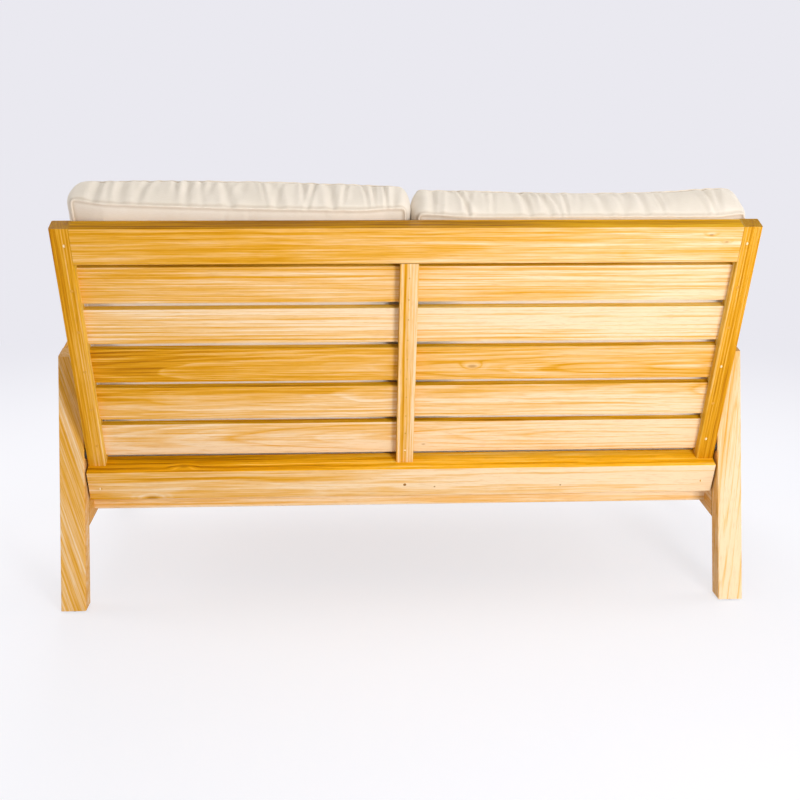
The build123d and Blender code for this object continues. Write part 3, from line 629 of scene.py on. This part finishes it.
    def puff(self):
        """Fills the cushion, and keeps each point within its cap."""
        self.groups()
        cloth = self.object.modifiers.new("cloth", "CLOTH")
        for name, value in canvas_cloth.items():
            setattr(cloth.settings, name, value)
        cloth.settings.effector_weights.gravity = 0
        cloth.collision_settings.use_collision = False
        scene = bpy.context.scene
        for step in range(1, puff_steps + 1):
            scene.frame_set(step)
        graph = bpy.context.evaluated_depsgraph_get()
        result = self.object.evaluated_get(graph).to_mesh()
        puffed = [vertex.co.copy() for vertex in result.vertices]
        self.object.evaluated_get(graph).to_mesh_clear()
        self.object.modifiers.clear()
        scene.frame_set(1)
        nx, ny, nz = self.count
        for (i, j, k), index in self.index.items():
            move = puffed[index] - self.rest[index]
            cap = self.shape["cap"]
            if i in (0, nx):
                cap = self.shape["end_cap"]
            elif k == nz:
                cap = self.shape["strip_cap"]
            if move.length > cap:
                move *= cap / move.length
            self.object.data.vertices[index].co = self.rest[index] + move

    def crease(self):
        """Presses folds into the strip between the seams, and puckers the cloth along them."""
        mesh, shape = self.object.data, self.shape
        rows = {vertex for edge in mesh.edges if edge.use_seam for vertex in edge.vertices}
        seams = kdtree.KDTree(len(rows))
        for row in rows:
            seams.insert(mesh.vertices[row].co, row)
        seams.balance()
        rear = self.corners[0, 1].dot(self.outward)
        depth = self.size[1]
        shift = Vector((0, 0, shape["seed"]))
        moves, painted_seam_shadow = [], []
        for vertex in mesh.vertices:
            normal = vertex.normal
            near, _, gap = seams.find(vertex.co)
            fade = math.exp(-gap / 0.02)
            move = pucker * noise.noise(near * 55 + shift) * fade
            move += swell * noise.noise(vertex.co * 13 + shift) * (1 - fade)
            move -= groove * math.exp(-((gap - 0.005) / 0.0025) ** 2)
            facing = smooth((normal.dot(self.row_out) - 0.2) / 0.5)
            if facing > 0:
                b = (vertex.co.dot(self.outward) - rear) / depth
                held = 0.1 + 0.9 * smooth((1 - b) / 0.3)
                for x, deep, wide, slant, length in shape["folds"]:
                    off = (vertex.co.x - x - slant * (1 - b)) / wide
                    if abs(off) < 4:
                        fold = math.exp(-off * off) - 0.6 * math.exp(-(abs(off) - 1.7) ** 2)
                        move -= deep * held * fold * facing * smooth((b - 1 + length) / length)
            if normal.dot(self.outward) < -0.5:
                for x, deep, wide, slant, length in shape["rear_folds"]:
                    down = (self.corners[0, 1] - vertex.co).dot(self.row_out)
                    off = (vertex.co.x - x - slant * down * 10) / wide
                    if abs(off) < 4:
                        move -= deep * math.exp(-off * off) * math.exp(-abs(down) / 0.06)
                move = min(move, 0.0)
            moves.append(normal * move)
            # Painted shadow beside the seams, where the piping shades the cloth; the canvas darkens by it
            painted_seam_shadow.append(math.exp(-((gap - 0.003) / 0.003) ** 2))
        for vertex, move in zip(mesh.vertices, moves):
            vertex.co += move
        mesh.attributes.new("seam", "FLOAT", "POINT").data.foreach_set("value", painted_seam_shadow)

    def pipe(self):
        """Sews piping along both seams: the cover's own seam edges, copied and given thickness. It is
        pressed flat where the cushion leans or lies on boards."""
        cover = self.object
        bpy.ops.object.select_all(action="DESELECT")
        cover.select_set(True)
        bpy.context.view_layer.objects.active = cover
        bpy.ops.object.mode_set(mode="EDIT")
        bpy.ops.mesh.select_mode(type="EDGE")
        bpy.ops.mesh.select_all(action="DESELECT")
        bpy.ops.object.mode_set(mode="OBJECT")
        for edge in cover.data.edges:
            edge.select = edge.use_seam
        bpy.ops.object.mode_set(mode="EDIT")
        bpy.ops.mesh.duplicate()
        bpy.ops.mesh.separate(type="SELECTED")
        bpy.ops.object.mode_set(mode="OBJECT")
        piping = next(made for made in bpy.context.selected_objects if made != cover)
        piping.name = self.name + "_piping"
        cover.select_set(False)
        bpy.context.view_layer.objects.active = piping
        bpy.ops.object.convert(target="CURVE")
        piping = bpy.context.object
        piping.data.bevel_depth = piping_radius
        piping.data.bevel_resolution = 2
        bpy.ops.object.convert(target="MESH")
        bpy.ops.object.shade_smooth()
        piping = bpy.context.object
        for vertex in piping.data.vertices:
            away = vertex.co - self.corners[0, 1]
            if away.dot(self.row_out) < 0 and away.dot(self.outward) < 0:
                vertex.co -= self.outward * away.dot(self.outward)
        return piping

    def finish(self):
        """Fills and smooths the cover, creases it, sews its piping and hands both to their body."""
        self.puff()
        cover = self.object
        smoothing = cover.modifiers.new("smoothing", "SUBSURF")
        smoothing.levels = smoothing.render_levels = 1
        bpy.context.view_layer.objects.active = cover
        bpy.ops.object.modifier_apply(modifier="smoothing")
        self.crease()
        piping = self.pipe()
        for polygon in cover.data.polygons:
            polygon.use_smooth = True
        for piece, cloth in ((cover, cover_canvas), (piping, piping_canvas)):
            piece.data.materials.clear()
            piece.data.materials.append(cloth)
            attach(piece, self.name)
        return cover


slat_plane = reach("back_cushion_cover_left", back_forward)[0]
deck_level, seat_top = reach("seat_cushion_cover_left", seat_up)
front_edge = reach("seat_cushion_cover_left", seat_forward)[1] - seat_nose
stand_level = seat_top + 0.0008
rear_recess = 0.022

back_shape = {
    "seam_corner": 0.008, "strip_corner": 0.016, "crown": 0.014, "belly": 0.009, "covered": 0.0,
    "cap": 0.014, "strip_cap": 0.007, "end_cap": 0.0015, "lift": 0.012,
}
seat_shape = {
    "seam_corner": 0.012, "strip_corner": 0.022, "crown": 0.004, "belly": 0.008, "covered": 0.27,
    "cap": 0.012, "strip_cap": 0.008, "end_cap": 0.002, "lift": 0.0, "lift_lengths": (0.05, 0.05),
    "end_bulges": (0.001, 0.001),
}

# How far each back cushion's seams stand above the back's top, along the bench, and its folds
back_cushions = {
    "right": {
        "ends": (0.008, 0.610), "end_bulges": (0.012, 0.015), "lift_lengths": (0.1, 0.06), "seed": 4.1,
        "rear_line": ((0.01, 0.017), (0.3, 0.023), (0.5, 0.03), (0.609, 0.036)),
        "front_line": ((0.011, 0.015), (0.2, 0.023), (0.387, 0.027), (0.609, 0.027)),
        "folds": folds(5, 0.02, 0.58, (0.011, 0.028), 0.0036),
        "rear_folds": folds(8, 0.04, 0.58, (0.04, 0.1), 0.0014),
    },
    "left": {
        "ends": (-0.625, -0.017), "end_bulges": (0.010, 0.012), "lift_lengths": (0.06, 0.1), "seed": 3.1,
        "rear_line": ((-0.625, 0.005), (-0.3, 0.005), (-0.017, 0.005)),
        "front_line": ((-0.625, 0.008), (-0.595, 0.011), (-0.47, 0.003), (-0.296, 0.001), (-0.084, 0.007),
                       (-0.017, 0.008)),
        "folds": folds(11, -0.59, -0.03, (0.012, 0.034), 0.0045),
        "rear_folds": folds(12, -0.58, -0.05, (0.08, 0.16), 0.001),
    },
}
for number, side in enumerate(("left", "right")):
    front_plane = slat_plane + cushion_thickness
    corners = {
        (0, 0): crossing(back_forward, slat_plane, seat_up, stand_level),
        (1, 0): crossing(back_forward, front_plane, seat_up, stand_level),
        (0, 1): crossing(back_forward, slat_plane, back_up, back_top),
        (1, 1): crossing(back_forward, front_plane, back_up, back_top),
    }
    own = back_cushions[side]
    cushion = Cushion(
        f"back_cushion_{side}", own["ends"], corners, back_forward, back_up, {**back_shape, **own}
    )
    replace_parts(cushion.finish(), f"back_cushion_cover_{side}", f"back_cushion_foam_{side}")

    seat_cover = f"seat_cushion_cover_{side}"
    low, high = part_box(seat_cover)
    corners = {
        (0, 0): crossing(back_forward, slat_plane + rear_recess, seat_up, deck_level),
        (0, 1): crossing(seat_forward, front_edge, seat_up, deck_level),
        (1, 0): crossing(back_forward, slat_plane, seat_up, seat_top),
        (1, 1): crossing(seat_forward, front_edge, seat_up, seat_top - seat_crown),
    }
    line = ((low.x, 0.0), ((low.x + high.x) / 2, -0.004), (high.x, 0.0))
    own = {
        "rear_line": line, "front_line": line, "seed": 7.3 + number,
        "folds": folds(20 + number, low.x + 0.03, high.x - 0.03, (0.025, 0.07), 0.0016), "rear_folds": (),
    }
    cushion = Cushion(
        f"seat_cushion_{side}", (low.x, high.x), corners, seat_up, seat_forward, {**seat_shape, **own}
    )
    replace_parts(cushion.finish(), seat_cover, f"seat_cushion_foam_{side}")


# Floor, light and camera

backdrop = shade(234, 233, 240)


def floor():
    """A pale floor that fades into the backdrop far from the bench."""
    bpy.ops.mesh.primitive_plane_add(size=60)
    made = bpy.context.object
    made.name = "floor"
    finish = Finish("pale_floor", 0.6, 0.2)
    spot = finish.node("TexCoord").outputs["Object"]
    cloud = finish.noise(spot, (1.2, 1.2, 1.2), 4.0).outputs["Fac"]
    finish.colour(finish.ramp(cloud, [(0.3, shade(240, 245, 255)), (0.7, shade(245, 248, 255))]))
    ray = finish.node("LightPath")
    seen = finish.math("MAXIMUM", ray.outputs["Is Camera Ray"], ray.outputs["Is Glossy Ray"])
    seen = finish.math("MAXIMUM", seen, ray.outputs["Is Transmission Ray"])
    away = finish.vector("LENGTH", finish.vector("SUBTRACT", spot, (0, 0.6, 0)))
    share = finish.math("MULTIPLY", seen, finish.remap(away, 0.0, 3.4, 0.64, 1.0))
    glow_colour = finish.mix(finish.remap(away, 1.2, 3.4), shade(252, 251, 255), backdrop)
    glow = finish.node("Emission", {"Color": glow_colour}).outputs[0]
    blend = finish.node("MixShader", {0: share, 1: finish.shader.outputs[0], 2: glow})
    finish.feed(finish.tree.nodes["Material Output"].inputs["Surface"], blend.outputs[0])
    made.data.materials.append(finish.material)


def lamp(name, place, aim, size, power, tint=(1, 1, 1)):
    light = bpy.data.lights.new(name, "AREA")
    light.shape = "SQUARE"
    light.size = size
    light.energy = power
    light.color = tint
    made = bpy.data.objects.new(name, light)
    bpy.context.scene.collection.objects.link(made)
    made.location = place
    made.rotation_euler = (Vector(aim) - Vector(place)).to_track_quat("-Z", "Y").to_euler()
    made.visible_camera = False


def sky(strength, tint):
    """A plain world: a soft warm light, seen as the pale backdrop."""
    world = bpy.data.worlds.new("studio")
    bpy.context.scene.world = world
    world.use_nodes = True
    tree = world.node_tree
    background = tree.nodes["Background"]
    ray = tree.nodes.new("ShaderNodeLightPath")
    seen = ray.outputs["Is Camera Ray"]
    for other in ("Is Glossy Ray", "Is Transmission Ray"):
        either = tree.nodes.new("ShaderNodeMath")
        either.operation = "MAXIMUM"
        tree.links.new(seen, either.inputs[0])
        tree.links.new(ray.outputs[other], either.inputs[1])
        seen = either.outputs[0]
    blend = tree.nodes.new("ShaderNodeMix")
    blend.data_type = "RGBA"
    blend.inputs[6].default_value = tuple(value * strength for value in tint) + (1.0,)
    blend.inputs[7].default_value = backdrop
    tree.links.new(seen, blend.inputs[0])
    tree.links.new(blend.outputs[2], background.inputs["Color"])


floor()
sky(0.42, (1.0, 0.98, 0.95))
lamp("key", (-1.1, 2.75, 1.0), (0, 0.2, 0.4), 0.7, 50)
lamp("front_fill", (0.6, -2.6, 2.4), (0, 0, 0.4), 1.4, 38)
lamp("left_fill", (-3.2, -0.4, 1.4), (0, -0.1, 0.4), 1.4, 24)
lamp("right_fill", (3.2, -0.4, 1.4), (0, -0.1, 0.4), 1.4, 24)
lamp("top_fill", (-0.3, 0.7, 3.2), (0, 0.3, 0.4), 1.2, 15)

# The photograph's camera, 800 pixels square
camera_place = (0.1210, 2.4911, 1.0050)
camera_yaw = math.radians(2.813)
camera_pitch = math.radians(14.591)
camera_roll = math.radians(-0.124)
focal_pixels = 1149.8
picture_pixels = 800
sensor = 36

camera = bpy.data.objects.new("camera", bpy.data.cameras.new("camera"))
bpy.context.scene.collection.objects.link(camera)
camera.data.sensor_width = sensor
camera.data.lens = focal_pixels / picture_pixels * sensor
camera.location = camera_place
facing = Matrix.Rotation(math.pi - camera_yaw, 3, "Z") @ Matrix.Rotation(math.pi / 2 - camera_pitch, 3, "X")
camera.rotation_euler = (facing @ Matrix.Rotation(-camera_roll, 3, "Z")).to_euler()
bpy.context.scene.camera = camera

bpy.context.scene.view_settings.view_transform = "Standard"
